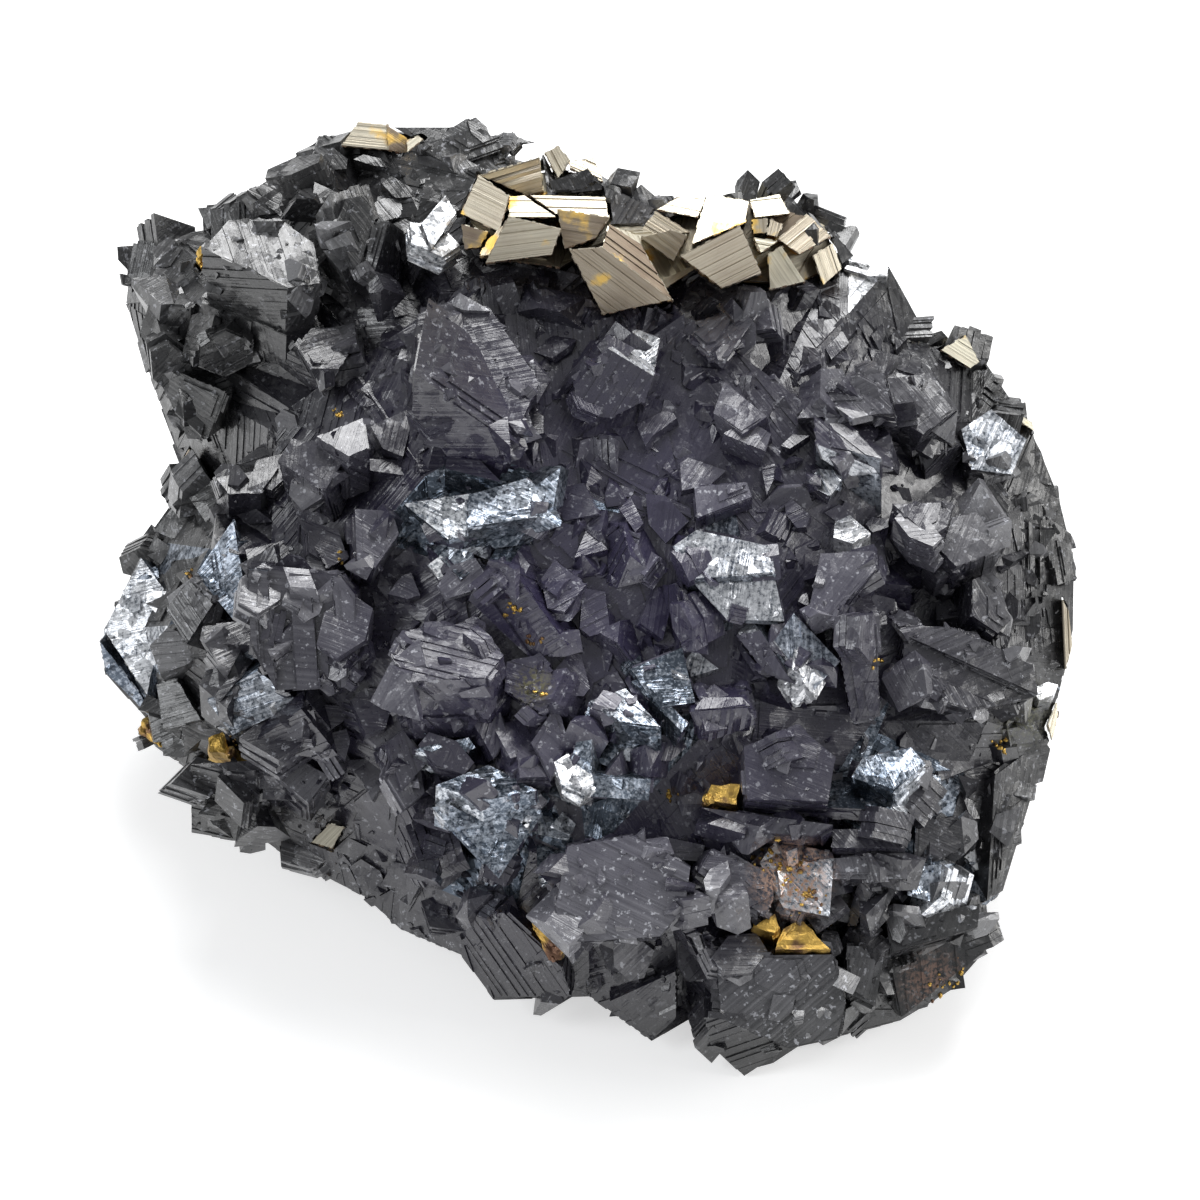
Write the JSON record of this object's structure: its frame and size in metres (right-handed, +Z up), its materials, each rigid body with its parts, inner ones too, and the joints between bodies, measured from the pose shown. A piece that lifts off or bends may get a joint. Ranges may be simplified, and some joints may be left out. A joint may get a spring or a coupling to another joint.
{
  "type": "mineral specimen",
  "caption": "Hand-sized group of dark bladed sphalerite crystals with pyrite along its top and brassy chalcopyrite grains, resting on a flat broken base.",
  "frame": {"origin": "under the middle of the specimen, on its flat base", "axes": "+Z up from the base, +X to the right as the display face is seen from the front, -Y towards the viewer"},
  "size_m": [0.098, 0.086, 0.0694],
  "materials": {
    "sphalerite": "dark adamantine cleavage faces",
    "pyrite": "striated metallic",
    "chalcopyrite": "rough metallic"
  },
  "bodies": {
    "root": {"sphalerite_mass": "sphalerite", "pyrite_crest": "pyrite", "pyrite_ridge": "pyrite", "pyrite_edge_pair": "pyrite", "pyrite_rim_plate": "pyrite", "pyrite_notch_chip": "pyrite", "pyrite_rim_strip": "pyrite", "pyrite_rim_chip": "pyrite", "pyrite_foot_chip": "pyrite", "chalcopyrite_shoulder": "chalcopyrite", "chalcopyrite_summit": "chalcopyrite", "chalcopyrite_left_edge": "chalcopyrite", "chalcopyrite_left_band": "chalcopyrite", "chalcopyrite_centre": "chalcopyrite", "chalcopyrite_right_foot": "chalcopyrite", "chalcopyrite_front_foot": "chalcopyrite"}
  },
  "joints": []
}
